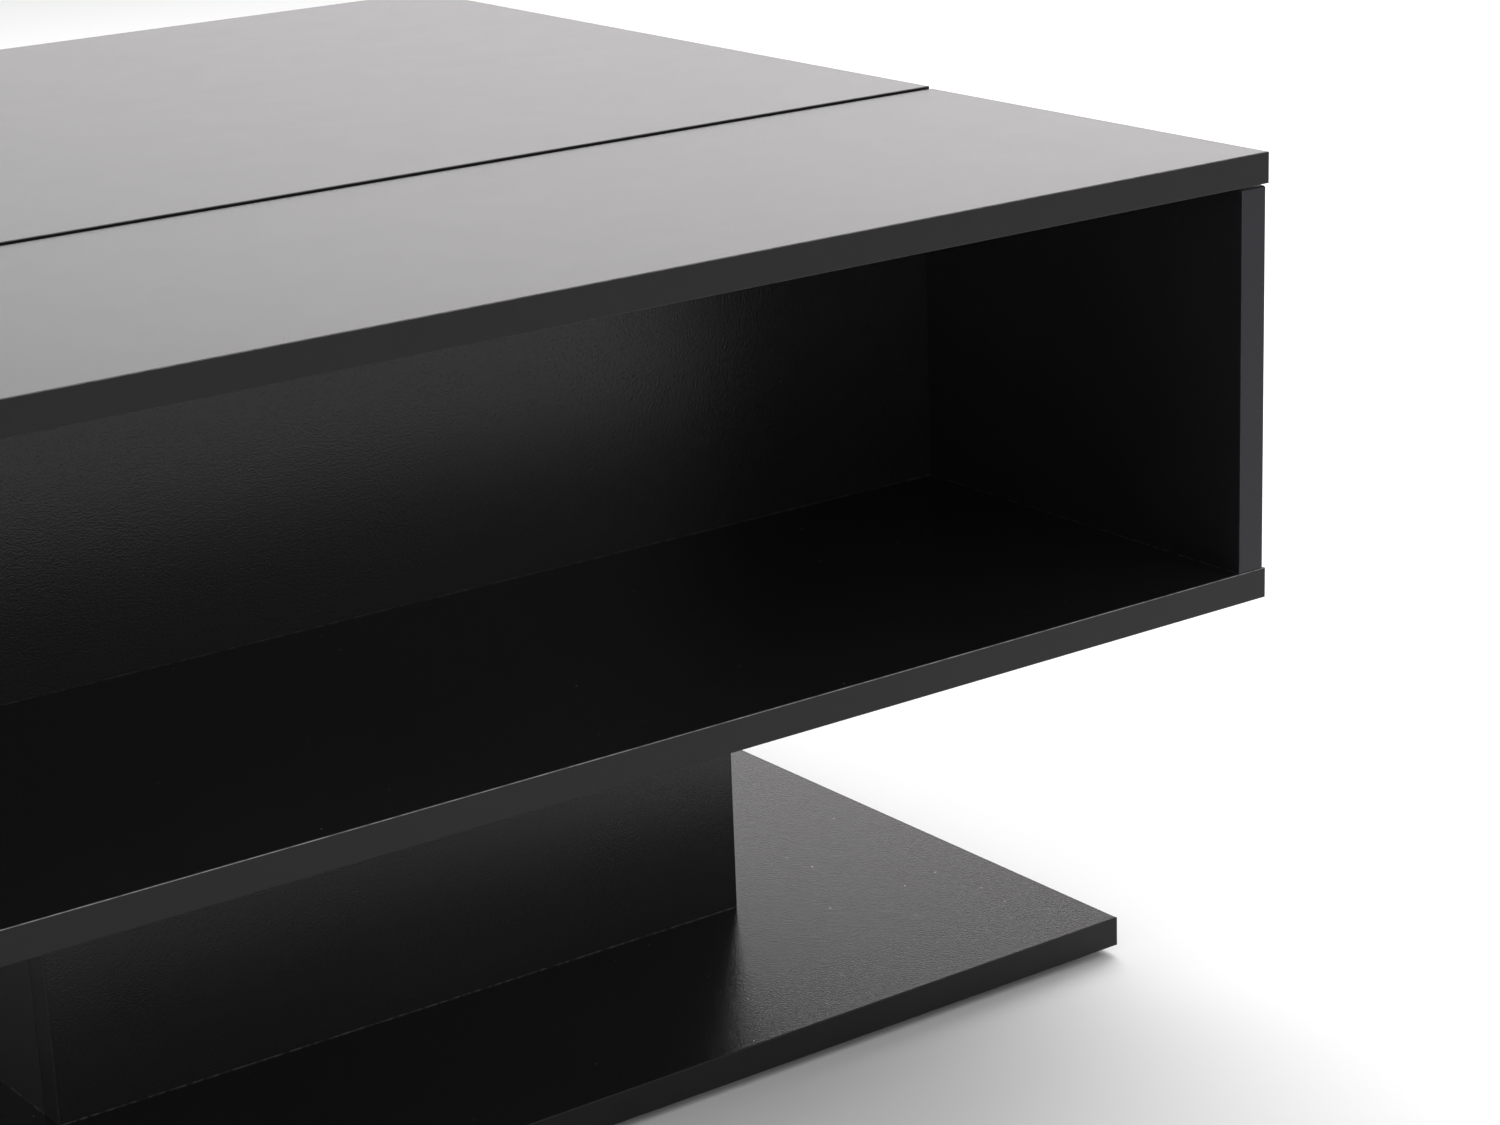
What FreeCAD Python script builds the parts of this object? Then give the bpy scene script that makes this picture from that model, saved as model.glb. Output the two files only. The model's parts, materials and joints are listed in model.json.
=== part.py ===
import FreeCAD, Part

import math
import os

from FreeCAD import Placement, Rotation, Vector

# Lift top coffee table in millimetres, +Z up. The origin is on the floor under the middle of the
# table. The open cubby faces -Y. The lid swings up and out over +Y, where its user sits.
# Boards are melamine-faced particle board with glued edge bands.

# Driving dimensions of the boards
BOARD = 16.0
BAND = 1.0
ARRIS = 0.5
TOP_SIDE = 800.0
STRIP_DEPTH = 263.0
SPLIT_GAP = 2.5
LID_RISE = 1.0
# Shadow gap over the side panels, and how far their upright bands stop short of the panel
SIDE_GAP = 0.8
BAND_SHY = 0.5
INNER_HEIGHT = 200.0
CUBBY_DEPTH = 249.0
SIDE_INSET = 2.0
BASE_INSET = 54.0
PEDESTAL_INSET = 199.0
PEDESTAL_HEIGHT = 181.0
GLIDE_HEIGHT = 5.0

# Heights of the board faces above the floor
BASE_TOP = GLIDE_HEIGHT + BOARD
FLOOR_UNDER = BASE_TOP + PEDESTAL_HEIGHT
FLOOR_TOP = FLOOR_UNDER + BOARD
CASE_TOP = FLOOR_TOP + INNER_HEIGHT
LID_UNDER = CASE_TOP + LID_RISE

# Plan positions of the board faces
TOP_HALF = TOP_SIDE / 2
SIDE_OUT = TOP_HALF - SIDE_INSET
SIDE_IN = SIDE_OUT - BOARD
SIDE_MID = SIDE_OUT - BOARD / 2
DIVIDER_FRONT = CUBBY_DEPTH - TOP_HALF
DIVIDER_REAR = DIVIDER_FRONT + BOARD
DIVIDER_MID = DIVIDER_FRONT + BOARD / 2
STRIP_REAR = STRIP_DEPTH - TOP_HALF
LID_FRONT = STRIP_REAR + SPLIT_GAP
BACK_OUT = SIDE_OUT
BACK_IN = BACK_OUT - BOARD
BACK_MID = BACK_OUT - BOARD / 2
BASE_HALF = TOP_HALF - BASE_INSET
PEDESTAL_OUT = TOP_HALF - PEDESTAL_INSET
PEDESTAL_IN = PEDESTAL_OUT - BOARD
PEDESTAL_MID = PEDESTAL_OUT - BOARD / 2

# Lift linkage: two equal arms each side, turning on the case below and carrying the lid above
ARM_LENGTH = 230.0
ARM_REST_ANGLE = 172.0
ARM_TRAVEL = 107.0
ARM_HALF_WIDTH = 12.0
FRONT_PIVOT = (150.0, 350.0)
PIVOT_STEP = (100.0, 20.0)
PIVOT_RADIUS = 4.0
RUNNING_CLEARANCE = 0.06
OPEN_PIVOT_CLEARANCE = 0.1
PIVOT_HEAD_RADIUS = 7.0

# Distances from the middle plane of the table to the sheet metal faces, outermost first
BRACKET_THICK = 2.5
ARM_THICK = 3.0
BRACKET_IN = SIDE_IN - BRACKET_THICK
ARM_OUT = BRACKET_IN - 2.0
ARM_IN = ARM_OUT - ARM_THICK
LID_BRACKET_OUT = ARM_IN - 3.0
LID_BRACKET_IN = LID_BRACKET_OUT - BRACKET_THICK
LID_FLANGE_WIDTH = 30.0
AXIAL_PLAY = 0.1

# Cross tube and counterbalance springs
TUBE_RADIUS = 8.0
TUBE_WALL = 1.5
TUBE_DISTANCE = 60.0
LOBE_RADIUS = 30.0
LOBE_HALF_WIDTH = 7.0
LOBE_REST_ANGLE = -(180.0 - ARM_TRAVEL) / 2
PEG_RADIUS = 3.0
SPRING_PLANE = 366.0
SPRING_RADIUS = 6.5
SPRING_WIRE = 2.2
SPRING_EYE_RADIUS = PEG_RADIUS + 0.6
SPRING_EYE_SLACK = 1.8
SPRING_EYE_REACH = 12.0
SPRING_ANCHOR_Y = -25.0

ACROSS = Vector(1, 0, 0)
ALONG = Vector(0, 1, 0)
UP = Vector(0, 0, 1)

pieces = {}
drillings = {}


def add(node, shape):
    """Put one more solid into a named piece."""
    pieces.setdefault(node, []).append(shape)


def drill(nodes, tool):
    """Take a hole out of the named boards and of their edge bands."""
    for node in nodes:
        drillings.setdefault(node, []).append(tool)


def block(x, y, z):
    """Box between a pair of limits on each axis."""
    low = Vector(min(x), min(y), min(z))
    high = Vector(max(x), max(y), max(z))
    size = high - low
    return Part.makeBox(size.x, size.y, size.z, low)


def rod(start, end, radius):
    """Round bar between two points."""
    start, end = Vector(start), Vector(end)
    return Part.makeCylinder(radius, (end - start).Length, start, end - start)


def stand(shape, at, direction):
    """Copy of a piece drawn along +Z, turned along a direction and set at a point."""
    turned = shape.copy()
    turned.Placement = Placement(Vector(at), Rotation(UP, direction))
    return turned


def stacked(steps):
    """Solid of revolution about +Z from (start radius, end radius, height) steps."""
    level, solid = 0.0, None
    for start_radius, end_radius, height in steps:
        if start_radius == end_radius:
            step = Part.makeCylinder(start_radius, height, Vector(0, 0, level))
        else:
            step = Part.makeCone(start_radius, end_radius, height, Vector(0, 0, level))
        solid = step if solid is None else solid.fuse(step)
        level += height
    return solid.removeSplitter()


def cross_recess(reach, width, depth):
    """Cross-shaped tool for the driver recess in a face at z = 0."""
    bar = block((-reach, reach), (-width / 2, width / 2), (0, depth))
    return bar.fuse(block((-width / 2, width / 2), (-reach, reach), (0, depth)))


# ---------------------------------------------------------------- boards and edge bands

def edge_band(limits, axis, outer):
    """One glued strip with its two long outer arrises rounded."""
    strip = block(*limits)
    extents = [high - low for low, high in limits]
    long_axis = extents.index(max(extents))
    rounded = []
    for edge in strip.Edges:
        first, last = edge.Vertexes[0].Point, edge.Vertexes[1].Point
        on_outer_face = abs(first[axis] - outer) < 1e-6 and abs(last[axis] - outer) < 1e-6
        if on_outer_face and abs(first[long_axis] - last[long_axis]) > 1e-6:
            rounded.append(edge)
    return strip.makeFillet(ARRIS, rounded)


def board(node, x, y, z, banded, band_node=None, shy=0.0):
    """Board whose named edges, such as "-y", carry an edge band inside its stated size.

    The ends of its upright bands stop short of the board's own ends by the distance shy.
    """
    limits = [list(x), list(y), list(z)]
    for edge in banded:
        axis = "xyz".index(edge[1])
        far = edge[0] == "+"
        outer = limits[axis][far]
        inner = outer - BAND if far else outer + BAND
        strip = [list(pair) for pair in limits]
        strip[axis] = sorted((outer, inner))
        if edge[1] != "z":
            strip[2] = [limits[2][0] + shy, limits[2][1] - shy]
        add(band_node or node + "_edge_band", edge_band(strip, axis, outer))
        limits[axis][far] = inner
    add(node, block(*limits))


def make_boards():
    full = (-TOP_HALF, TOP_HALF)
    case = (FLOOR_TOP, CASE_TOP)
    side = (FLOOR_TOP, CASE_TOP - SIDE_GAP)
    inside = (-SIDE_IN, SIDE_IN)
    all_edges = ("-y", "+y", "-x", "+x")
    board("top_strip", full, (-TOP_HALF, STRIP_REAR), (CASE_TOP, CASE_TOP + BOARD), all_edges)
    board("lid_panel", full, (LID_FRONT, TOP_HALF), (LID_UNDER, LID_UNDER + BOARD), all_edges)
    board("bottom_panel", full, full, (FLOOR_UNDER, FLOOR_TOP), all_edges)
    deep, side_edges = (-TOP_HALF, BACK_OUT), ("-y", "+y", "+z")
    board("side_panel_left", (-SIDE_OUT, -SIDE_IN), deep, side, side_edges, shy=BAND_SHY)
    board("side_panel_right", (SIDE_IN, SIDE_OUT), deep, side, side_edges, shy=BAND_SHY)
    board("divider_panel", inside, (DIVIDER_FRONT, DIVIDER_REAR), case, ())
    board("back_panel", inside, (BACK_IN, BACK_OUT), case, ("+z",))

    base = (-BASE_HALF, BASE_HALF)
    board("base_panel", base, base, (GLIDE_HEIGHT, BASE_TOP), all_edges)
    pedestal = (BASE_TOP, FLOOR_UNDER)
    wide = (-PEDESTAL_OUT, PEDESTAL_OUT)
    between = (-PEDESTAL_IN, PEDESTAL_IN)
    bands = "pedestal_edge_band"
    board("pedestal_front", wide, (-PEDESTAL_OUT, -PEDESTAL_IN), pedestal, ("-x", "+x"), bands)
    board("pedestal_back", wide, (PEDESTAL_IN, PEDESTAL_OUT), pedestal, ("-x", "+x"), bands)
    board("pedestal_left", (-PEDESTAL_OUT, -PEDESTAL_IN), between, pedestal, ())
    board("pedestal_right", (PEDESTAL_IN, PEDESTAL_OUT), between, pedestal, ())


# ---------------------------------------------------------------- board fasteners

def confirmat(node, nodes, x, y, underside):
    """Connector screw driven up through a flat board into the edge of the board above it."""
    head_high, thread_high, tip_high = 3.0, 32.0, 2.0
    screw = stacked([(5.0, 3.4, head_high), (3.4, 3.4, BOARD - head_high),
                     (2.6, 2.6, thread_high), (2.6, 0.8, tip_high)])
    key = Part.Face(Part.makePolygon(
        [Vector(2.3 * math.cos(math.radians(a)), 2.3 * math.sin(math.radians(a)), 0)
         for a in range(0, 361, 60)])).extrude(Vector(0, 0, 2.4))
    hole = stacked([(5.1, 3.5, head_high), (3.5, 3.5, BOARD - head_high),
                    (2.7, 2.7, thread_high + tip_high + 1)])
    add(node, stand(screw.cut(key), (x, y, underside), UP))
    drill(nodes, stand(hole, (x, y, underside), UP))


def wood_screw(node, nodes, head, direction, length, radius):
    """Countersunk cross-head screw with its hole and countersink."""
    head_radius = 2 * radius
    cone, point = head_radius - radius, 2 * radius
    screw = stacked([(head_radius, radius, cone), (radius, radius, length - cone - point),
                     (radius, 0.3, point)])
    recess = cross_recess(0.55 * head_radius, 0.18 * head_radius, 0.5 * head_radius)
    slack = 0.1
    hole = stacked([(head_radius + slack, radius + slack, cone),
                    (radius + slack, radius + slack, length - cone + 1)])
    add(node, stand(screw.cut(recess), head, direction))
    drill(nodes, stand(hole, head, direction))


def dowel(node, nodes, joint_point, direction, depth_ahead, depth_behind):
    """Chamfered dowel across the joint between two boards."""
    radius, chamfer, slack = 4.0, 1.0, 0.05
    length = depth_ahead + depth_behind
    pin = stacked([(radius - chamfer, radius, chamfer), (radius, radius, length - 2 * chamfer),
                   (radius, radius - chamfer, chamfer)])
    start = Vector(joint_point) - direction * depth_behind
    add(node, stand(pin, start, direction))
    hole_start = start - direction * 1.0
    drill(nodes, rod(hole_start, start + direction * (length + 0.5), radius + slack))


def cam_joint(own_board, other_board, edge_point, pull, face):
    """Cam lock let into a board's face, and the bolt from it into the board beyond its edge.

    edge_point is the middle of the board's edge, pull points from the cam out of that edge, and
    face points out of the board's face that the cam is let into.
    """
    backset, cam_radius, cam_depth = 24.0, 7.4, 12.0
    centre = Vector(edge_point) - pull * backset
    mouth = centre + face * (BOARD / 2)
    cam = rod(mouth, mouth - face * cam_depth, cam_radius)
    cam = cam.cut(rod(centre - pull * 5.0, centre + pull * cam_radius, 3.9))
    recess = stand(cross_recess(4.5, 1.4, 1.8), mouth, face * -1)
    add("cam_locks", cam.cut(recess))
    drill((own_board,), rod(mouth, mouth - face * (cam_depth + 0.5), cam_radius + 0.1))

    edge = Vector(edge_point)
    bolt = rod(centre - pull * 3.0, centre + pull * 1.0, 3.5)
    bolt = bolt.fuse(rod(centre, edge, 2.6))
    bolt = bolt.fuse(rod(edge, edge + pull * 10.5, 3.3)).removeSplitter()
    add("cam_bolts", bolt)
    drill((own_board,), rod(centre, edge, 4.0))
    drill((other_board,), rod(edge, edge + pull * 11.0, 3.4))


def join_case():
    """Cams, dowels and connector screws that hold the cabinet together."""
    lower, middle, upper = FLOOR_TOP + 40, FLOOR_TOP + 90, FLOOR_TOP + 140
    for side, side_board in ((-1, "side_panel_left"), (1, "side_panel_right")):
        out = ACROSS * side
        for cross_board, y, face in (("divider_panel", DIVIDER_MID, ALONG),
                                     ("back_panel", BACK_MID, ALONG * -1)):
            for z in (lower, upper):
                cam_joint(cross_board, side_board, (side * SIDE_IN, y, z), out, face)
            dowel("dowels", (cross_board, side_board), (side * SIDE_IN, y, middle), out, 10, 20)
        for y in (-350, -200):
            dowel("dowels", ("top_strip", side_board), (side * SIDE_MID, y, CASE_TOP), UP, 10, 20)
        for y in (-340, -60, 180, 340):
            confirmat("cabinet_connector_screws", ("bottom_panel", side_board),
                      side * SIDE_MID, y, FLOOR_UNDER)
        dowel("dowels", ("top_strip", "divider_panel"), (side * 300, DIVIDER_MID, CASE_TOP),
              UP, 10, 20)
    for x in (-200, 0, 200):
        cam_joint("divider_panel", "top_strip", (x, DIVIDER_MID, CASE_TOP), UP, ALONG)
    for x in (-250, 0, 250):
        for cross_board, y in (("divider_panel", DIVIDER_MID), ("back_panel", BACK_MID)):
            confirmat("cabinet_connector_screws", ("bottom_panel", cross_board), x, y, FLOOR_UNDER)


def join_pedestal():
    """Corner blocks, cleats, dowels and screws inside the pedestal, and the screws at its ends."""
    batten, screw_length, screw_radius = 25.0, 35.0, 2.0
    inner = PEDESTAL_IN - batten
    middle = PEDESTAL_IN - batten / 2
    for x_side, side_board in ((-1, "pedestal_left"), (1, "pedestal_right")):
        for y_side, end_board in ((-1, "pedestal_front"), (1, "pedestal_back")):
            add("corner_blocks", block((x_side * inner, x_side * PEDESTAL_IN),
                                       (y_side * inner, y_side * PEDESTAL_IN),
                                       (BASE_TOP + 1, FLOOR_UNDER - 1)))
            for z in (BASE_TOP + 30, BASE_TOP + 130):
                head = (x_side * inner, y_side * middle, z)
                wood_screw("corner_block_screws", ("corner_blocks", side_board), head,
                           ACROSS * x_side, screw_length, screw_radius)
            for z in (BASE_TOP + 55, BASE_TOP + 155):
                head = (x_side * middle, y_side * inner, z)
                wood_screw("corner_block_screws", ("corner_blocks", end_board), head,
                           ALONG * y_side, screw_length, screw_radius)
            for z in (BASE_TOP + 40, BASE_TOP + 140):
                dowel("pedestal_dowels", (side_board, end_board),
                      (x_side * PEDESTAL_MID, y_side * PEDESTAL_IN, z), ALONG * y_side, 10, 20)
            confirmat("base_connector_screws", ("base_panel", end_board),
                      x_side * 100, y_side * PEDESTAL_MID, GLIDE_HEIGHT)
            confirmat("base_connector_screws", ("base_panel", side_board),
                      x_side * PEDESTAL_MID, y_side * 100, GLIDE_HEIGHT)

        add("top_cleats", block((x_side * inner, x_side * PEDESTAL_IN), (-150, 150),
                                (FLOOR_UNDER - batten, FLOOR_UNDER)))
        for y in (-125, 125):
            wood_screw("cleat_screws", ("top_cleats", side_board),
                       (x_side * inner, y, FLOOR_UNDER - batten / 2), ACROSS * x_side,
                       screw_length, screw_radius)
        for y in (-100, 0, 100):
            wood_screw("cabinet_fixing_screws", ("bottom_panel", "top_cleats"),
                       (x_side * middle, y, FLOOR_TOP), UP * -1, screw_length, screw_radius)
            cap = stacked([(7.0, 7.0, 0.7), (7.0, 6.5, 0.5)])
            add("screw_caps", stand(cap, (x_side * middle, y, FLOOR_TOP), UP))


def make_glides():
    """Nail-on floor glides, four near the corners of the base and one under its middle."""
    glide = stacked([(11.0, 12.0, 1.0), (12.0, 12.0, GLIDE_HEIGHT - 1.0)])
    nail = stacked([(3.0, 3.0, 1.0), (1.2, 1.2, 12.0), (1.2, 0.2, 2.0)])
    spread = BASE_HALF - 40
    places = [(x, y) for x in (-spread, spread) for y in (-spread, spread)] + [(0, 0)]
    for x, y in places:
        pin = stand(nail, (x, y, 2.0), UP)
        add("floor_glides", stand(glide, (x, y, 0), UP).cut(pin))
        add("glide_nails", pin)
        drill(("base_panel",), pin)


# ---------------------------------------------------------------- lift linkage

def from_pivot(pivot, angle, distance):
    """Point (y, z) at an angle from +Y and a distance from a pivot."""
    turn = math.radians(angle)
    return (pivot[0] + distance * math.cos(turn), pivot[1] + distance * math.sin(turn))


REAR_PIVOT = (FRONT_PIVOT[0] + PIVOT_STEP[0], FRONT_PIVOT[1] + PIVOT_STEP[1])
FRONT_LID_PIVOT = from_pivot(FRONT_PIVOT, ARM_REST_ANGLE, ARM_LENGTH)
REAR_LID_PIVOT = from_pivot(REAR_PIVOT, ARM_REST_ANGLE, ARM_LENGTH)
SPRING_PEG = from_pivot(FRONT_PIVOT, LOBE_REST_ANGLE, LOBE_RADIUS)
SPRING_ANCHOR = (SPRING_ANCHOR_Y, SPRING_PEG[1])


def link(side, start, end, half_width, inner, outer):
    """Flat bar with round ends between two (y, z) points, from one |x| to another."""
    a, b = Vector(0, *start), Vector(0, *end)
    ahead = (b - a).normalize()
    aside = ACROSS.cross(ahead) * half_width
    reach = ahead * half_width
    outline = Part.Wire([
        Part.LineSegment(a + aside, b + aside).toShape(),
        Part.Arc(b + aside, b + reach, b - aside).toShape(),
        Part.LineSegment(b - aside, a - aside).toShape(),
        Part.Arc(a - aside, a - reach, a + aside).toShape()])
    bar = Part.Face(outline).extrude(ACROSS * (side * (outer - inner)))
    bar.translate(ACROSS * (side * inner))
    return bar


def pin_between(side, point, inner, outer, radius):
    """Round bar across the table at a (y, z) point, from one |x| to another."""
    return rod((side * inner, *point), (side * outer, *point), radius)


def ring_between(side, point, inner, outer, hole_radius, rim_radius):
    """Washer at a (y, z) point, from one |x| to another."""
    disc = pin_between(side, point, inner, outer, rim_radius)
    return disc.cut(pin_between(side, point, inner, outer, hole_radius))


def headed_pin(side, point, root, head_face, head_thick):
    """Pivot stud from its root to a domed head."""
    neck = head_face - head_thick if head_face > root else head_face + head_thick
    shank = pin_between(side, point, root, neck, PIVOT_RADIUS)
    head = pin_between(side, point, neck, head_face, PIVOT_HEAD_RADIUS)
    rim = [e for e in head.Edges if e.Curve.TypeId == "Part::GeomCircle"
           and abs(abs(e.CenterOfMass.x) - head_face) < 1e-6]
    return shank.fuse(head.makeFillet(0.8, rim)).removeSplitter()


def make_base_bracket(side, name):
    """Plate screwed to the side panel, with both lower pivots, the spring post and the stop."""
    low, high = 318.0, 392.0
    front, rear = -45.0, 285.0
    plate = block((side * BRACKET_IN, side * SIDE_IN), (front, rear), (low, high))
    corners = [e for e in plate.Edges
               if abs(e.Vertexes[0].X - e.Vertexes[1].X) > BRACKET_THICK / 2]
    node = "base_bracket_" + name
    add(node, plate.makeFillet(10.0, corners))
    fixings = [(front + 12, high - 12), (front + 12, low + 26), (60, high - 10), (60, low + 10),
               (200, high - 10), (200, low + 10), (rear - 12, high - 12), (rear - 12, low + 12)]
    for y, z in fixings:
        wood_screw("base_bracket_screws", (node, "side_panel_" + name),
                   (side * BRACKET_IN, y, z), ACROSS * side, 14.0, 1.75)

    for pivot in (FRONT_PIVOT, REAR_PIVOT):
        stud = headed_pin(side, pivot, SIDE_IN, ARM_IN - 2.0, 1.9)
        add("base_pivot_studs", stud)
        drill((node,), pin_between(side, pivot, SIDE_IN, BRACKET_IN, PIVOT_RADIUS + 0.02))
        add("base_pivot_spacers", ring_between(side, pivot, ARM_OUT + AXIAL_PLAY, BRACKET_IN,
                                               PIVOT_RADIUS + 0.1, 9.0))

    post = pin_between(side, SPRING_ANCHOR, SPRING_PLANE - 3.0, SIDE_IN, PEG_RADIUS)
    head = pin_between(side, SPRING_ANCHOR, SPRING_PLANE - 4.2, SPRING_PLANE - 3.0, 4.6)
    add("spring_posts", post.fuse(head).removeSplitter())
    drill((node,), pin_between(side, SPRING_ANCHOR, BRACKET_IN, SIDE_IN, PEG_RADIUS + 0.02))

    # The stop lies against the leading edge of the front arm when the lid is fully out.
    stop_radius, stop_gap, up_the_arm = 3.5, 0.5, 18.0
    open_angle = ARM_REST_ANGLE - ARM_TRAVEL
    beside = ARM_HALF_WIDTH + stop_gap + stop_radius
    foot = from_pivot(FRONT_PIVOT, open_angle, up_the_arm)
    stop = from_pivot(foot, open_angle - 90.0, beside)
    add("open_stops", pin_between(side, stop, ARM_IN, SIDE_IN, stop_radius))
    drill((node,), pin_between(side, stop, BRACKET_IN, SIDE_IN, stop_radius + 0.02))


def make_arms(side, name):
    """Front arm with its spring lobe and peg, and the plain rear arm."""
    hole = PIVOT_RADIUS + RUNNING_CLEARANCE
    front = link(side, FRONT_PIVOT, FRONT_LID_PIVOT, ARM_HALF_WIDTH, ARM_IN, ARM_OUT)
    front = front.fuse(pin_between(side, FRONT_PIVOT, ARM_IN, ARM_OUT, ARM_HALF_WIDTH + 2))
    front = front.fuse(link(side, FRONT_PIVOT, SPRING_PEG, LOBE_HALF_WIDTH, ARM_IN, ARM_OUT))
    front = front.removeSplitter()
    for pivot in (FRONT_PIVOT, FRONT_LID_PIVOT):
        front = front.cut(pin_between(side, pivot, ARM_IN, ARM_OUT, hole))
    front = front.cut(pin_between(side, SPRING_PEG, ARM_IN, ARM_OUT, PEG_RADIUS + 0.02))
    add("front_arm_" + name, front)

    peg = pin_between(side, SPRING_PEG, SPRING_PLANE - 3.0, ARM_OUT, PEG_RADIUS)
    head = pin_between(side, SPRING_PEG, SPRING_PLANE - 4.2, SPRING_PLANE - 3.0, 4.6)
    add("spring_pegs", peg.fuse(head).removeSplitter())

    rear = link(side, REAR_PIVOT, REAR_LID_PIVOT, ARM_HALF_WIDTH, ARM_IN, ARM_OUT)
    rear = rear.cut(pin_between(side, REAR_PIVOT, ARM_IN, ARM_OUT, hole))
    open_hole = PIVOT_RADIUS + OPEN_PIVOT_CLEARANCE
    rear = rear.cut(pin_between(side, REAR_LID_PIVOT, ARM_IN, ARM_OUT, open_hole))
    add("rear_arm_" + name, rear)


def make_cross_tube():
    """Tube welded between the front arms, so that both sides rise together."""
    centre = from_pivot(FRONT_PIVOT, ARM_REST_ANGLE, TUBE_DISTANCE)
    ends = ((-ARM_IN, *centre), (ARM_IN, *centre))
    tube = rod(*ends, TUBE_RADIUS)
    add("arm_cross_tube", tube.cut(rod(*ends, TUBE_RADIUS - TUBE_WALL)))


def make_lid_bracket(side, name):
    """Angle under the lid whose upright flange carries both upper pivots."""
    margin, below = 14.0, 13.0
    front, rear = FRONT_LID_PIVOT[0] - margin, REAR_LID_PIVOT[0] + margin
    front_low, rear_low = FRONT_LID_PIVOT[1] - below, REAR_LID_PIVOT[1] - below
    outline = [(front, LID_UNDER), (front, front_low + 6), (front + 6, front_low),
               (FRONT_LID_PIVOT[0] + 6, front_low), (rear - 8, rear_low), (rear, rear_low + 6),
               (rear, LID_UNDER), (front, LID_UNDER)]
    face = Part.Face(Part.makePolygon([Vector(side * LID_BRACKET_IN, *p) for p in outline]))
    upright = face.extrude(ACROSS * (side * BRACKET_THICK))
    flange = block((side * (LID_BRACKET_OUT - LID_FLANGE_WIDTH), side * LID_BRACKET_OUT),
                   (front, rear), (LID_UNDER - BRACKET_THICK, LID_UNDER))
    angle = upright.fuse(flange).removeSplitter()
    inner_corner = [e for e in angle.Edges
                    if abs(e.Length - (rear - front)) < 1e-6
                    and abs(abs(e.CenterOfMass.x) - LID_BRACKET_IN) < 1e-6
                    and abs(e.CenterOfMass.z - (LID_UNDER - BRACKET_THICK)) < 1e-6]
    angle = angle.makeFillet(2.0, inner_corner)
    outer_corner = [e for e in angle.Edges
                    if abs(e.Length - (rear - front)) < 1e-6
                    and abs(abs(e.CenterOfMass.x) - LID_BRACKET_OUT) < 1e-6
                    and abs(e.CenterOfMass.z - LID_UNDER) < 1e-6]
    angle = angle.makeFillet(2.0, outer_corner)
    node = "lid_bracket_" + name
    add(node, angle)
    middle = side * (LID_BRACKET_OUT - LID_FLANGE_WIDTH / 2 - 3)
    for y in (front + 15, (front + rear) / 2, rear - 15):
        wood_screw("lid_bracket_screws", (node, "lid_panel"),
                   (middle, y, LID_UNDER - BRACKET_THICK), UP, 14.0, 1.75)
    for pivot in (FRONT_LID_PIVOT, REAR_LID_PIVOT):
        add("lid_pivot_studs", headed_pin(side, pivot, LID_BRACKET_IN, ARM_OUT + 1.6, 1.5))
        drill((node,), pin_between(side, pivot, LID_BRACKET_IN, LID_BRACKET_OUT,
                                   PIVOT_RADIUS + 0.02))
        add("lid_pivot_spacers", ring_between(side, pivot, LID_BRACKET_OUT, ARM_IN - AXIAL_PLAY,
                                              PIVOT_RADIUS + 0.1, 8.0))


def make_spring(side, name):
    """Counterbalance spring as a sleeve of its coil's size, with an oval eye round each peg."""
    body_start = SPRING_ANCHOR[0] + SPRING_EYE_REACH
    body_end = SPRING_PEG[0] - SPRING_EYE_REACH
    height = SPRING_PEG[1]
    x = side * SPRING_PLANE
    coil = rod((x, body_start, height), (x, body_end, height), SPRING_RADIUS)
    bore = SPRING_RADIUS - SPRING_WIRE
    spring = coil.cut(rod((x, body_start + SPRING_WIRE, height),
                          (x, body_end - SPRING_WIRE, height), bore))
    half_wire = SPRING_WIRE / 2
    rim = SPRING_EYE_RADIUS + SPRING_WIRE
    for centre, towards in ((SPRING_ANCHOR, 1), (SPRING_PEG, -1)):
        inner = (centre[0] + towards * SPRING_EYE_SLACK, centre[1])
        eye = link(side, centre, inner, rim, SPRING_PLANE - half_wire, SPRING_PLANE + half_wire)
        neck_start = inner[0] + towards * (SPRING_EYE_RADIUS + half_wire)
        neck_end = centre[0] + towards * (SPRING_EYE_REACH + half_wire)
        neck = block((x - half_wire, x + half_wire), (neck_start, neck_end),
                     (height - half_wire, height + half_wire))
        opening = link(side, centre, inner, SPRING_EYE_RADIUS,
                       SPRING_PLANE - SPRING_WIRE, SPRING_PLANE + SPRING_WIRE)
        spring = spring.fuse(eye.fuse(neck).cut(opening))
    add("lift_spring_" + name, spring.removeSplitter())


def make_bumpers():
    """Thin round pads that keep the shut lid off the edges of the case."""
    rounded = 0.4
    for side in (-1, 1):
        places = [(side * SIDE_MID, y, CASE_TOP - SIDE_GAP) for y in (-110, 130, 370)]
        places.append((side * 200, BACK_MID, CASE_TOP))
        for place in places:
            pad = stacked([(4.5, 4.5, LID_UNDER - place[2] - rounded), (4.5, 3.9, rounded)])
            add("lid_bumpers", stand(pad, place, UP))


def make_linkage():
    for side, name in ((-1, "left"), (1, "right")):
        make_base_bracket(side, name)
        make_arms(side, name)
        make_lid_bracket(side, name)
        make_spring(side, name)
    make_cross_tube()


# ---------------------------------------------------------------- write every piece

def finished(node):
    """The node's solids with its board's drillings taken out."""
    tools = drillings.get(node.removesuffix("_edge_band"), [])
    solids = []
    for shape in pieces[node]:
        box = shape.BoundBox
        near = [tool for tool in tools if tool.BoundBox.intersect(box)]
        if near:
            shape = shape.cut(Part.makeCompound(near) if len(near) == 1 else near)
        solids.extend(shape.Solids)
    return solids[0] if len(solids) == 1 else Part.makeCompound(solids)


make_boards()
join_case()
join_pedestal()
make_glides()
make_bumpers()
make_linkage()

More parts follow.
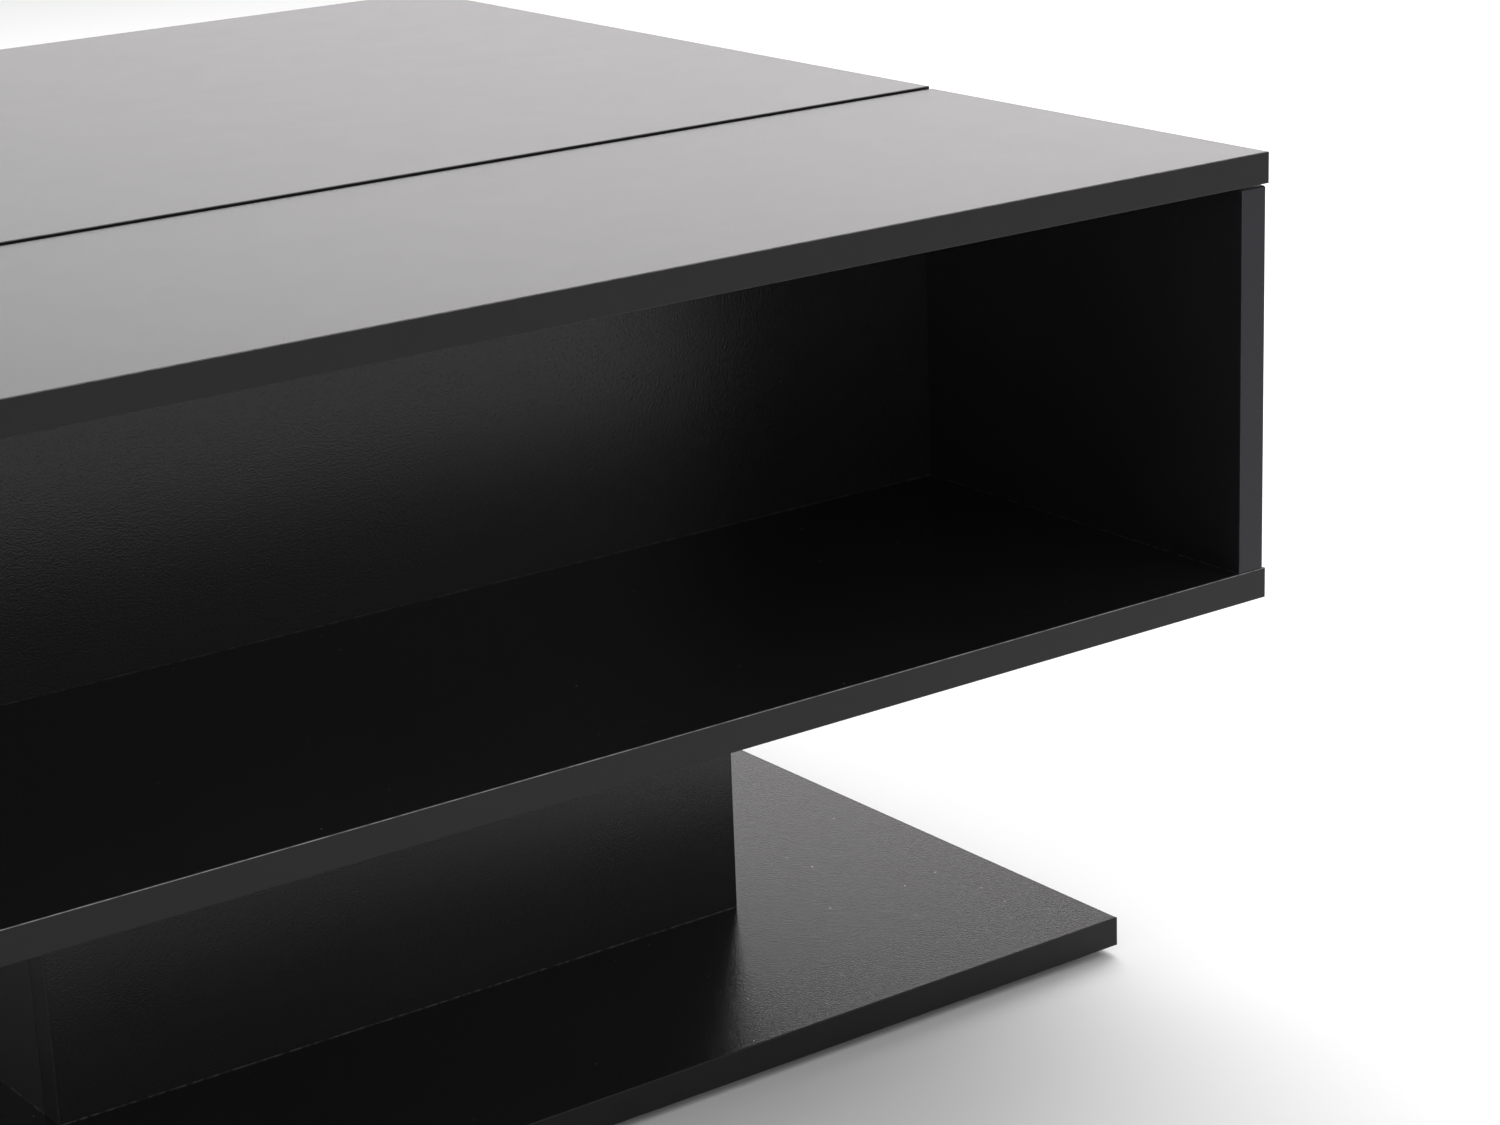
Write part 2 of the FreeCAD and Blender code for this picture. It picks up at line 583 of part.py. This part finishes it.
os.makedirs("parts", exist_ok=True)
for node in sorted(pieces):
    shape = finished(node)
    shape.exportStep("parts/" + node + ".step")
    print(f"{node:28s} solids {len(shape.Solids):2d}  volume {shape.Volume:12.1f} mm3")
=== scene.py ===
import json
import math

import bmesh
import bpy
from mathutils import Matrix, Vector


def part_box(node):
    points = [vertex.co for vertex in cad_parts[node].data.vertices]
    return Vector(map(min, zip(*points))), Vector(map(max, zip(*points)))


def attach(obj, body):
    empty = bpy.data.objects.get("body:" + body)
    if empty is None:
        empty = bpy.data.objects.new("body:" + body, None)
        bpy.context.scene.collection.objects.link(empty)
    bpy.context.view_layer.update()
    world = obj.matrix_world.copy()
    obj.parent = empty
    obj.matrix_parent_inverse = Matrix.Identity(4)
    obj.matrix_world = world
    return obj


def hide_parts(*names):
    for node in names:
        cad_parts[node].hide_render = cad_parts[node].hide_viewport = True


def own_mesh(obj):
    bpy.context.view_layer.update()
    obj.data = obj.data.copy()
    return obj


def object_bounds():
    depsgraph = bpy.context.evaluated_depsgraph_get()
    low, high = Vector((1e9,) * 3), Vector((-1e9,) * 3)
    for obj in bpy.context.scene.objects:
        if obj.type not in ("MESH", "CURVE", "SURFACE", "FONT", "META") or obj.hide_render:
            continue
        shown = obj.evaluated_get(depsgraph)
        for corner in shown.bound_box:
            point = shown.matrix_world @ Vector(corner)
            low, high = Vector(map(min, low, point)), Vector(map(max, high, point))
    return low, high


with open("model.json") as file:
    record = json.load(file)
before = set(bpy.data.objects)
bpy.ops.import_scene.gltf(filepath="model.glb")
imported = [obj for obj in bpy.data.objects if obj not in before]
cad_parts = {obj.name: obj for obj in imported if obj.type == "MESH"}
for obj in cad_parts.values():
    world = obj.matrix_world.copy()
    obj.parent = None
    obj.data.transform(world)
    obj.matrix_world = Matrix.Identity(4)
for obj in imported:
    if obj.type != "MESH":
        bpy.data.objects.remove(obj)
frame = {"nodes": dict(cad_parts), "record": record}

cad_low, cad_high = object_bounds()

MM = 0.001

# ---------------------------------------------------------------- camera

# The camera looks at the table's front right, slightly rolled. Its place is an offset from the
# upper front right corner of the fixed strip.
CAMERA_YAW = math.radians(35.785)
CAMERA_PITCH = math.radians(17.577)
CAMERA_ROLL = math.radians(2.114)
CAMERA_LENS = 84.007
CAMERA_SENSOR = 36.0
CAMERA_OFFSET = Vector((-1.21308, -1.23145, 0.33802))


def make_camera():
    """Camera at its offset from the strip's upper front right corner, turned by its three angles."""
    strip_low, strip_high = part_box("top_strip_edge_band")
    corner = Vector((strip_high.x, strip_low.y, strip_high.z))
    forward = Vector((math.sin(CAMERA_YAW) * math.cos(CAMERA_PITCH),
                      math.cos(CAMERA_YAW) * math.cos(CAMERA_PITCH),
                      -math.sin(CAMERA_PITCH)))
    level_right = Vector((math.cos(CAMERA_YAW), -math.sin(CAMERA_YAW), 0))
    level_down = forward.cross(level_right)
    right = level_right * math.cos(CAMERA_ROLL) + level_down * math.sin(CAMERA_ROLL)
    up = level_right * math.sin(CAMERA_ROLL) - level_down * math.cos(CAMERA_ROLL)

    data = bpy.data.cameras.new("camera")
    data.sensor_width = CAMERA_SENSOR
    data.lens = CAMERA_LENS
    data.clip_start = 0.05
    data.clip_end = 100.0
    camera = bpy.data.objects.new("camera", data)
    camera.matrix_world = matrix_from_axes(right, up, -forward, corner + CAMERA_OFFSET)
    bpy.context.scene.collection.objects.link(camera)
    bpy.context.scene.camera = camera


def matrix_from_axes(x_axis, y_axis, z_axis, origin):
    """Placement whose columns are three axes and an origin."""
    return Matrix((
        (x_axis.x, y_axis.x, z_axis.x, origin.x),
        (x_axis.y, y_axis.y, z_axis.y, origin.y),
        (x_axis.z, y_axis.z, z_axis.z, origin.z),
        (0, 0, 0, 1)))


# ---------------------------------------------------------------- node trees

class Tree:
    """Short calls for building one material's or the world's node tree."""

    def __init__(self, owner):
        owner.use_nodes = True
        self.tree = owner.node_tree

    def node(self, kind, inputs=None, **settings):
        made = self.tree.nodes.new(kind)
        for name, value in settings.items():
            setattr(made, name, value)
        for name, value in (inputs or {}).items():
            self.feed(made.inputs[name], value)
        return made

    def feed(self, socket, value):
        if isinstance(value, bpy.types.NodeSocket):
            self.tree.links.new(value, socket)
        else:
            socket.default_value = value

    def place(self):
        return self.node("ShaderNodeTexCoord").outputs["Object"]

    def stretched(self, coords, scale):
        return self.node("ShaderNodeMapping", {"Vector": coords, "Scale": scale}).outputs[0]

    def noise(self, coords, scale, detail=2.0, roughness=0.5):
        made = self.node("ShaderNodeTexNoise", {"Vector": coords, "Scale": scale,
                                                "Detail": detail, "Roughness": roughness})
        return made.outputs["Fac"]

    def cells(self, coords, scale, dimensions="3D"):
        made = self.node("ShaderNodeTexVoronoi", {"Vector": coords, "Scale": scale},
                         voronoi_dimensions=dimensions)
        return made.outputs["Distance"], made.outputs["Color"]

    def ramp(self, value, low, high, out_low=0.0, out_high=1.0):
        made = self.node("ShaderNodeMapRange", {"Value": value, "From Min": low, "From Max": high,
                                                "To Min": out_low, "To Max": out_high})
        return made.outputs["Result"]

    def maths(self, operation, first, second=0.0):
        made = self.node("ShaderNodeMath", operation=operation)
        self.feed(made.inputs[0], first)
        self.feed(made.inputs[1], second)
        return made.outputs[0]

    def profile(self, value, stops, scale):
        made = self.node("ShaderNodeValToRGB", {"Fac": value})
        elements = made.color_ramp.elements
        elements[0].position, elements[1].position = stops[0][0], stops[-1][0]
        for place, _ in stops[1:-1]:
            elements.new(place)
        for element, (_, level) in zip(elements, stops):
            element.color = grey(level / scale)
        return self.maths("MULTIPLY", made.outputs["Color"], scale)

    def blend(self, factor, first, second):
        made = self.node("ShaderNodeMix", data_type="RGBA")
        self.feed(made.inputs["Factor"], factor)
        self.feed(made.inputs["A"], first)
        self.feed(made.inputs["B"], second)
        return made.outputs["Result"]

    def split(self, vector):
        return self.node("ShaderNodeSeparateXYZ", {"Vector": vector}).outputs

    def bump(self, height, depth, normal=None, strength=1.0):
        inputs = {"Height": height, "Distance": depth, "Strength": strength}
        if normal is not None:
            inputs["Normal"] = normal
        return self.node("ShaderNodeBump", inputs).outputs["Normal"]


def grey(level, blue=0.0):
    return (level, level, level * (1 + blue), 1.0)


def new_material(name, **sockets):
    """Material with a principled shader whose constant sockets are set by keyword."""
    material = bpy.data.materials.new(name)
    tree = Tree(material)
    shader = tree.tree.nodes["Principled BSDF"]
    for socket, value in sockets.items():
        shader.inputs[socket.replace("_", " ")].default_value = value
    return material, tree, shader


def dress(tree, shader, colour, roughness, normal):
    """Feeds the three sockets that vary over a surface."""
    tree.feed(shader.inputs["Base Color"], colour)
    tree.feed(shader.inputs["Roughness"], roughness)
    tree.feed(shader.inputs["Normal"], normal)


# ---------------------------------------------------------------- materials

NICK_SPACING = 45 * MM


def near_level(tree, height, level, reach):
    """1 within a short way of a height, else 0."""
    away = tree.maths("ABSOLUTE", tree.maths("SUBTRACT", height, level))
    return tree.maths("LESS_THAN", away, reach)


def dust(tree, coords, spacing, size, share):
    """Mask of a few tiny specks that lie only on faces turned upward."""
    distance, colour = tree.cells(coords, 1 / spacing, "2D")
    chance, speck_size, _ = tree.split(colour)
    radius = tree.ramp(speck_size, 0, 1, size * 0.2 / spacing, size / spacing)
    speck = tree.maths("LESS_THAN", distance, radius)
    picked = tree.maths("LESS_THAN", chance, share)
    up = tree.split(tree.node("ShaderNodeNewGeometry").outputs["Normal"])[2]
    facing_up = tree.maths("GREATER_THAN", up, 0.9)
    return tree.maths("MULTIPLY", tree.maths("MULTIPLY", speck, picked), facing_up)


def melamine(name, pebble_depth, ior=1.45):
    """Satin black melamine paper with a fine pebble, faint smears, dust and a painted highlight
    along the foot of upright boards.
    """
    material, tree, shader = new_material(name, IOR=ior)
    coords = tree.place()
    smear = tree.noise(tree.stretched(coords, (1.0, 1.6, 1.3)), 5.0, 4.0, 0.6)
    cloud = tree.noise(coords, 35.0, 3.0, 0.55)
    pebble = tree.noise(coords, 1500.0, 0.0)
    orange_peel = tree.noise(coords, 200.0, 1.0, 0.4)

    tone = tree.ramp(smear, 0.3, 0.7)
    colour = tree.blend(tone, (0.0115, 0.0115, 0.0120, 1), (0.0150, 0.0150, 0.0155, 1))
    _, front, height = tree.split(coords)
    case_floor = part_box("bottom_panel")[1].z
    base_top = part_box("base_panel")[1].z
    normal = tree.split(tree.node("ShaderNodeNewGeometry").outputs["Normal"])
    side_on = tree.maths("LESS_THAN", tree.maths("ABSOLUTE", normal[2]), 0.5)
    # Painted highlight: a paler strip along the lowest 0.65 mm of upright faces, faint just above
    # the case floor and full just above the base top, broken up by noise.
    painted_foot_highlight = tree.maths("MULTIPLY", near_level(tree, height, case_floor + 0.3 * MM, 0.35 * MM), 0.3)
    painted_foot_highlight = tree.maths("MAXIMUM", painted_foot_highlight, near_level(tree, height, base_top + 0.3 * MM, 0.35 * MM))
    highlight_breakup = tree.ramp(tree.noise(coords, 240.0, 3.0, 0.7), 0.42, 0.60, 0.05, 1.0)
    wear_and_painted_highlight = tree.maths("MULTIPLY", tree.maths("MULTIPLY", painted_foot_highlight, side_on), highlight_breakup)
    # The pale grey is the painted highlight at the foot of the boards.
    colour = tree.blend(wear_and_painted_highlight, colour, (0.10, 0.10, 0.10, 1))
    glue = tree.maths("MULTIPLY", near_level(tree, front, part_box("bottom_panel")[0].y, 0.25 * MM),
                      tree.maths("GREATER_THAN", normal[2], 0.9))
    glue = tree.maths("MULTIPLY", glue, tree.ramp(tree.noise(coords, 60.0, 3.0, 0.7), 0.50, 0.62))
    colour = tree.blend(glue, colour, (0.09, 0.09, 0.09, 1))
    specks = dust(tree, coords, spacing=26 * MM, size=0.4 * MM, share=0.3)
    colour = tree.blend(specks, colour, (0.20, 0.20, 0.19, 1))

    rough = tree.ramp(tree.maths("ADD", tree.maths("MULTIPLY", smear, 0.3),
                                 tree.maths("MULTIPLY", cloud, 0.7)), 0.35, 0.65, 0.205, 0.215)
    rough = tree.maths("MAXIMUM", rough, tree.maths("MULTIPLY", specks, 0.8))
    wavy = tree.bump(orange_peel, 0.006 * MM)
    dress(tree, shader, colour, rough, tree.bump(pebble, pebble_depth, wavy))
    return material


def edge_band(name, dark, light, blue=0.05, arris_highlight_level=0.16, ior=1.36):
    """Extruded plastic edging: fine drawing marks, small nicks and a painted highlight on its
    rounded arrises.
    """
    material, tree, shader = new_material(name, IOR=ior)
    coords = tree.place()
    mottle = tree.noise(coords, 60.0, 3.0, 0.6)
    grain = tree.noise(coords, 900.0, 1.0, 0.4)
    colour = tree.blend(tree.ramp(mottle, 0.3, 0.7), grey(dark, blue), grey(light, blue))

    across, along, up = tree.split(tree.node("ShaderNodeNewGeometry").outputs["Normal"])
    widest = tree.maths("MAXIMUM", tree.maths("ABSOLUTE", across), tree.maths("ABSOLUTE", along))
    widest = tree.maths("MAXIMUM", widest, tree.maths("ABSOLUTE", up))
    # Painted highlight on the rounded arrises: paler where the fillet faces up, along the lower
    # arris under the fixed strip and where it faces left, broken up by noise.
    rounded = tree.ramp(widest, 0.90, 0.98, 1.0, 0.0)
    strip_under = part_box("top_strip")[0].z
    lower = tree.maths("MULTIPLY", tree.ramp(up, -0.5, -0.1, 0.25, 0.0),
                       near_level(tree, tree.split(coords)[2], strip_under, 0.6 * MM))
    leftward = tree.ramp(across, -0.5, -0.1, 0.3, 0.0)
    wear_and_painted_highlight = tree.maths("MAXIMUM", tree.ramp(up, 0.1, 0.5), tree.maths("MAXIMUM", lower, leftward))
    broken = tree.ramp(tree.noise(coords, 130.0, 3.0, 0.7), 0.36, 0.60, 0.45, 1.0)
    painted_arris_highlight = tree.maths("MULTIPLY", tree.maths("MULTIPLY", rounded, wear_and_painted_highlight), broken)
    # The pale grey is the painted arris highlight.
    colour = tree.blend(painted_arris_highlight, colour, grey(arris_highlight_level))

    nick, cell_colour = tree.cells(coords, 1 / NICK_SPACING)
    chance = tree.split(cell_colour)[0]
    nicks = tree.maths("MULTIPLY", tree.maths("LESS_THAN", nick, 0.010),
                       tree.maths("LESS_THAN", chance, 0.5))
    colour = tree.blend(nicks, colour, (0.16, 0.16, 0.16, 1))
    drawn = tree.noise(tree.stretched(coords, (40, 40, 1400)), 1.0, 2.0, 0.5)
    lines = tree.bump(drawn, 0.01 * MM)
    dress(tree, shader, colour, tree.ramp(mottle, 0.3, 0.7, 0.33, 0.42),
          tree.bump(grain, 0.03 * MM, lines))
    return material


def zinc_plate():
    """Rolled zinc plate, cloudy, with marks drawn along Y."""
    material, tree, shader = new_material("zinc_steel", Metallic=1.0)
    coords = tree.place()
    drawn = tree.noise(tree.stretched(coords, (900, 60, 900)), 1.0, 3.0, 0.6)
    cloud = tree.noise(coords, 55.0, 3.0, 0.6)
    colour = tree.blend(tree.ramp(cloud, 0.35, 0.7), (0.60, 0.61, 0.62, 1), (0.48, 0.49, 0.47, 1))
    dress(tree, shader, colour, tree.ramp(drawn, 0.3, 0.7, 0.24, 0.40),
          tree.bump(drawn, 0.012 * MM))
    return material


def powder_coat():
    """Black powder coat with an orange peel and paler worn places."""
    material, tree, shader = new_material("black_painted_steel", IOR=1.45)
    coords = tree.place()
    peel = tree.noise(coords, 620.0, 1.5, 0.5)
    wear_and_painted_highlight = tree.noise(coords, 30.0, 4.0, 0.65)
    colour = tree.blend(tree.ramp(wear_and_painted_highlight, 0.4, 0.7), grey(0.014), grey(0.026))
    dress(tree, shader, colour, tree.ramp(wear_and_painted_highlight, 0.3, 0.7, 0.34, 0.48),
          tree.bump(peel, 0.05 * MM))
    return material


def spring_wire():
    """Oiled spring wire with faint drawing marks."""
    material, tree, shader = new_material("spring_steel", Metallic=1.0)
    coords = tree.place()
    oil = tree.noise(coords, 120.0, 3.0, 0.6)
    drawn = tree.noise(coords, 2500.0, 1.0, 0.5)
    colour = tree.blend(tree.ramp(oil, 0.35, 0.65), (0.30, 0.30, 0.31, 1), (0.19, 0.18, 0.17, 1))
    dress(tree, shader, colour, tree.ramp(oil, 0.3, 0.7, 0.22, 0.38),
          tree.bump(drawn, 0.01 * MM))
    return material


def cast_zinc():
    """Dull die-cast zinc with fine pits."""
    material, tree, shader = new_material("cast_zinc", Metallic=1.0)
    coords = tree.place()
    pits = tree.noise(coords, 1100.0, 3.0, 0.6)
    cloud = tree.noise(coords, 140.0, 2.0, 0.5)
    colour = tree.blend(tree.ramp(cloud, 0.3, 0.7), grey(0.42), grey(0.52, 0.02))
    dress(tree, shader, colour, tree.ramp(pits, 0.3, 0.7, 0.36, 0.55),
          tree.bump(pits, 0.03 * MM))
    return material


def moulded(name, dark, light, rough_low, rough_high, grain=700.0):
    """Moulded plastic or rubber with a fine spark-eroded grain."""
    material, tree, shader = new_material(name, IOR=1.46)
    coords = tree.place()
    cloud = tree.noise(coords, 80.0, 3.0, 0.5)
    fine = tree.noise(coords, grain, 2.0, 0.5)
    colour = tree.blend(tree.ramp(cloud, 0.3, 0.7), dark, light)
    dress(tree, shader, colour, tree.ramp(fine, 0.3, 0.7, rough_low, rough_high),
          tree.bump(fine, 0.03 * MM))
    return material


def sawn_wood():
    """Raw sawn softwood with its grain along Z."""
    material, tree, shader = new_material("raw_wood", IOR=1.45)
    coords = tree.place()
    warp = tree.noise(coords, 14.0, 2.0, 0.5)
    rings = tree.node("ShaderNodeTexWave", {"Vector": tree.stretched(coords, (1.0, 1.0, 0.12)),
                                            "Scale": 70.0, "Distortion": 6.0, "Detail": 3.0})
    fibre = tree.noise(tree.stretched(coords, (900, 900, 50)), 1.0, 3.0, 0.6)
    tone = tree.maths("MULTIPLY", rings.outputs["Fac"], tree.ramp(warp, 0.3, 0.7, 0.5, 1.0))
    colour = tree.blend(tone, (0.62, 0.45, 0.27, 1), (0.42, 0.27, 0.14, 1))
    dress(tree, shader, colour, tree.ramp(fibre, 0.3, 0.7, 0.55, 0.80),
          tree.bump(fibre, 0.10 * MM))
    return material


def paint_nodes():
    """Gives every CAD node the material of its slot, or its own finish, and returns the slots'."""
    by_slot = {
        "black_melamine": melamine("black_melamine", 0.10 * MM),
        "black_edge_band": edge_band("black_edge_band", 0.0065, 0.0095),
        "zinc_steel": zinc_plate(),
        "black_painted_steel": powder_coat(),
        "spring_steel": spring_wire(),
        "nylon_washer": moulded("nylon_washer", (0.70, 0.69, 0.64, 1), (0.78, 0.77, 0.73, 1),
                                0.35, 0.50),
        "cast_zinc": cast_zinc(),
        "black_plastic": moulded("black_plastic", grey(0.018), grey(0.028), 0.38, 0.55),
        "bumper_rubber": moulded("bumper_rubber", grey(0.022), grey(0.032), 0.60, 0.80, 1200.0),
        "raw_wood": sawn_wood(),
    }
    smooth = melamine("smooth_melamine", 0.05 * MM, ior=1.38)
    own_finish = {
        "lid_panel": smooth,
        "top_strip": smooth,
        "side_panel_left_edge_band": edge_band("side_edge_band", 0.0140, 0.0175, blue=0.35),
        # The bottom board's edging carries a brighter painted arris highlight. The base's edging has
        # a lower IOR, so it reflects less, standing in for the shade on the floor just in front of
        # the base, and only a faint painted arris highlight.
        "bottom_panel_edge_band": edge_band("bottom_edge_band", 0.0065, 0.0095, arris_highlight_level=0.42),
        "base_panel_edge_band": edge_band("base_edge_band", 0.0105, 0.0135, arris_highlight_level=0.04, ior=1.28),
    }
    own_finish["side_panel_right_edge_band"] = own_finish["side_panel_left_edge_band"]
    for row in frame["record"]["subparts"]:
        node = frame["nodes"][row["node"]]
        node.data.materials.clear()
        node.data.materials.append(own_finish.get(row["node"], by_slot[row["material_slot"]]))
    return by_slot


# ---------------------------------------------------------------- lift springs

WIRE = 2.2 * MM
COIL_OUTER = 6.5 * MM
EYE_INNER = 3.6 * MM
EYE_LONG = 5.4 * MM
EYE_REACH = 12.0 * MM
COIL_PITCH = 3.5 * MM
WIRE_SIDES = 10
TURN_STEPS = 22
# Degrees that a hook turns round its pin
HOOK_TURN = 250
HOOK_STEPS = 16


def spring_path(x, anchor_y, peg_y, height):
    """Centreline of an extension spring along Y with an oval hook round the pin at each end."""
    eye = EYE_INNER + WIRE / 2
    neck = EYE_LONG + WIRE / 2
    coil = COIL_OUTER - WIRE / 2
    length = peg_y - anchor_y
    coil_start, coil_end = EYE_REACH, length - EYE_REACH
    coil_turns = round((coil_end - coil_start) / COIL_PITCH)

    def hook(centre, towards):
        """Three quarters of a turn round a pin, longer towards the coil, ending on its axis."""
        angles = [math.radians(-HOOK_TURN + HOOK_TURN * i / HOOK_STEPS)
                  for i in range(HOOK_STEPS + 1)]
        return [(centre + towards * (neck if math.cos(a) > 0 else eye) * math.cos(a), 0.0,
                 eye * math.sin(a)) for a in angles]

    points = hook(0.0, 1)
    total = coil_turns + 1.0
    steps = int(total * TURN_STEPS)
    for i in range(1, steps):
        turn = total * i / steps
        share = i / steps
        along = neck + (length - 2 * neck) * share
        body = min(max((along - neck) / (coil_start - neck), 0.0), 1.0)
        tail = min(max((length - neck - along) / (length - neck - coil_end), 0.0), 1.0)
        radius = coil * math.sin(math.pi / 2 * min(body, tail))
        angle = 2 * math.pi * turn
        points.append((along, radius * math.sin(angle), radius * math.cos(angle)))
    points += list(reversed(hook(length, -1)))
    return [Vector((x + side, anchor_y + along, height + up)) for along, side, up in points]


def sweep(name, path, radius, sides):
    """Closed round wire along a path of points, with a frame carried along it."""
    mesh = bpy.data.meshes.new(name)
    bm = bmesh.new()
    rings = []
    normal = Vector((1, 0, 0))
    for i, point in enumerate(path):
        before, after = path[max(i - 1, 0)], path[min(i + 1, len(path) - 1)]
        tangent = (after - before).normalized()
        normal = (normal - tangent * normal.dot(tangent)).normalized()
        other = tangent.cross(normal)
        ring = []
        for k in range(sides):
            angle = 2 * math.pi * k / sides
            ring.append(bm.verts.new(point + (normal * math.cos(angle)
                                              + other * math.sin(angle)) * radius))
        rings.append(ring)
    for near, far in zip(rings, rings[1:]):
        for k in range(sides):
            bm.faces.new((near[k], near[(k + 1) % sides], far[(k + 1) % sides], far[k]))
    bm.faces.new(list(reversed(rings[0])))
    bm.faces.new(rings[-1])
    bmesh.ops.recalc_face_normals(bm, faces=bm.faces)
    bm.to_mesh(mesh)
    bm.free()
    for face in mesh.polygons:
        face.use_smooth = True
    made = bpy.data.objects.new(name, mesh)
    bpy.context.scene.collection.objects.link(made)
    return made


def make_springs(material):
    """Real coils in place of the plain sleeves."""
    for name in ("left", "right"):
        node = "lift_spring_" + name
        low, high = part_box(node)
        x, height = (low.x + high.x) / 2, (low.z + high.z) / 2
        rim = EYE_INNER + WIRE
        anchor_y, peg_y = low.y + rim, high.y - rim
        coil = sweep("spring_coil_" + name, spring_path(x, anchor_y, peg_y, height),
                     WIRE / 2, WIRE_SIDES)
        coil.data.materials.append(material)
        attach(coil, "cabinet")
        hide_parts(node)
        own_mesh(coil)


# ---------------------------------------------------------------- studio

FLOOR_REACH = 14.0
DOME_GLOW = 0.68
WALL_BEARING = 48.0
# Brightness of the wall against the sine of the elevation
WALL_PROFILE = ((0.0, 0.8), (0.10, 1.5), (0.16, 1.8), (0.20, 1.85), (0.225, 2.25),
                (0.255, 2.55), (0.30, 1.5), (0.34, 2.3), (0.36, 3.0), (0.38, 1.7), (0.40, 0.5),
                (0.43, 0.2))
WALL_BRIGHTEST = 4.0
WALL_LEAN = 0.30
WALL_TINT = (1.0, 0.972, 0.988, 1)


def make_floor():
    """Matt white paper under the table."""
    mesh = bpy.data.meshes.new("studio_floor")
    bm = bmesh.new()
    bmesh.ops.create_grid(bm, x_segments=1, y_segments=1, size=FLOOR_REACH)
    bm.to_mesh(mesh)
    bm.free()
    floor = bpy.data.objects.new("studio_floor", mesh)
    floor.location.z = cad_low.z
    bpy.context.scene.collection.objects.link(floor)
    material, tree, shader = new_material("studio_floor", Roughness=0.85)
    shader.inputs["Specular IOR Level"].default_value = 0.2
    paper = tree.noise(tree.place(), 3.0, 2.0, 0.5)
    tree.feed(shader.inputs["Base Color"],
              tree.blend(paper, (0.93, 0.93, 0.93, 1), (0.95, 0.95, 0.95, 1)))
    mesh.materials.append(material)


def make_world():
    """White studio dome with a bright wall low behind the table and to its right."""
    world = bpy.data.worlds.new("studio")
    bpy.context.scene.world = world
    tree = Tree(world)
    background = tree.tree.nodes["Background"]
    direction = tree.node("ShaderNodeTexCoord").outputs["Generated"]
    bearing = math.radians(WALL_BEARING)
    facing = tree.node("ShaderNodeVectorMath", operation="DOT_PRODUCT")
    tree.feed(facing.inputs[0], direction)
    tree.feed(facing.inputs[1], (math.sin(bearing), math.cos(bearing), 0.0))
    lobe = tree.ramp(facing.outputs["Value"], 0.70, 1.00)
    sideways = tree.node("ShaderNodeVectorMath", operation="DOT_PRODUCT")
    tree.feed(sideways.inputs[0], direction)
    tree.feed(sideways.inputs[1], (math.cos(CAMERA_YAW), -math.sin(CAMERA_YAW), 0.0))
    lean = tree.ramp(sideways.outputs["Value"], 0.0, 1.0, 0.0, WALL_LEAN)
    height = tree.maths("ADD", tree.split(direction)[2], lean)
    wall = tree.profile(height, WALL_PROFILE, WALL_BRIGHTEST)
    wall = tree.maths("SUBTRACT", wall, DOME_GLOW)
    glow = tree.maths("ADD", tree.maths("MULTIPLY", lobe, wall), DOME_GLOW)
    tree.feed(background.inputs["Strength"], glow)
    tree.feed(background.inputs["Color"], tree.blend(lobe, (1, 1, 1, 1), WALL_TINT))


def make_softbox(name, place, aim, width, height, power):
    """Soft light that shows neither to the camera nor in reflections."""
    data = bpy.data.lights.new(name, "AREA")
    data.shape = "RECTANGLE"
    data.size, data.size_y = width, height
    data.energy = power
    light = bpy.data.objects.new(name, data)
    light.location = place
    light.rotation_euler = (Vector(aim) - Vector(place)).to_track_quat("-Z", "Y").to_euler()
    light.visible_camera = False
    light.visible_glossy = False
    bpy.context.scene.collection.objects.link(light)


make_camera()
materials = paint_nodes()
make_springs(materials["spring_steel"])
make_floor()
make_world()
make_softbox("right_softbox", place=(1.9, 1.0, 2.6), aim=(0.3, -0.1, 0.1),
             width=2.4, height=2.4, power=95.0)
bpy.context.scene.view_settings.view_transform = "Standard"
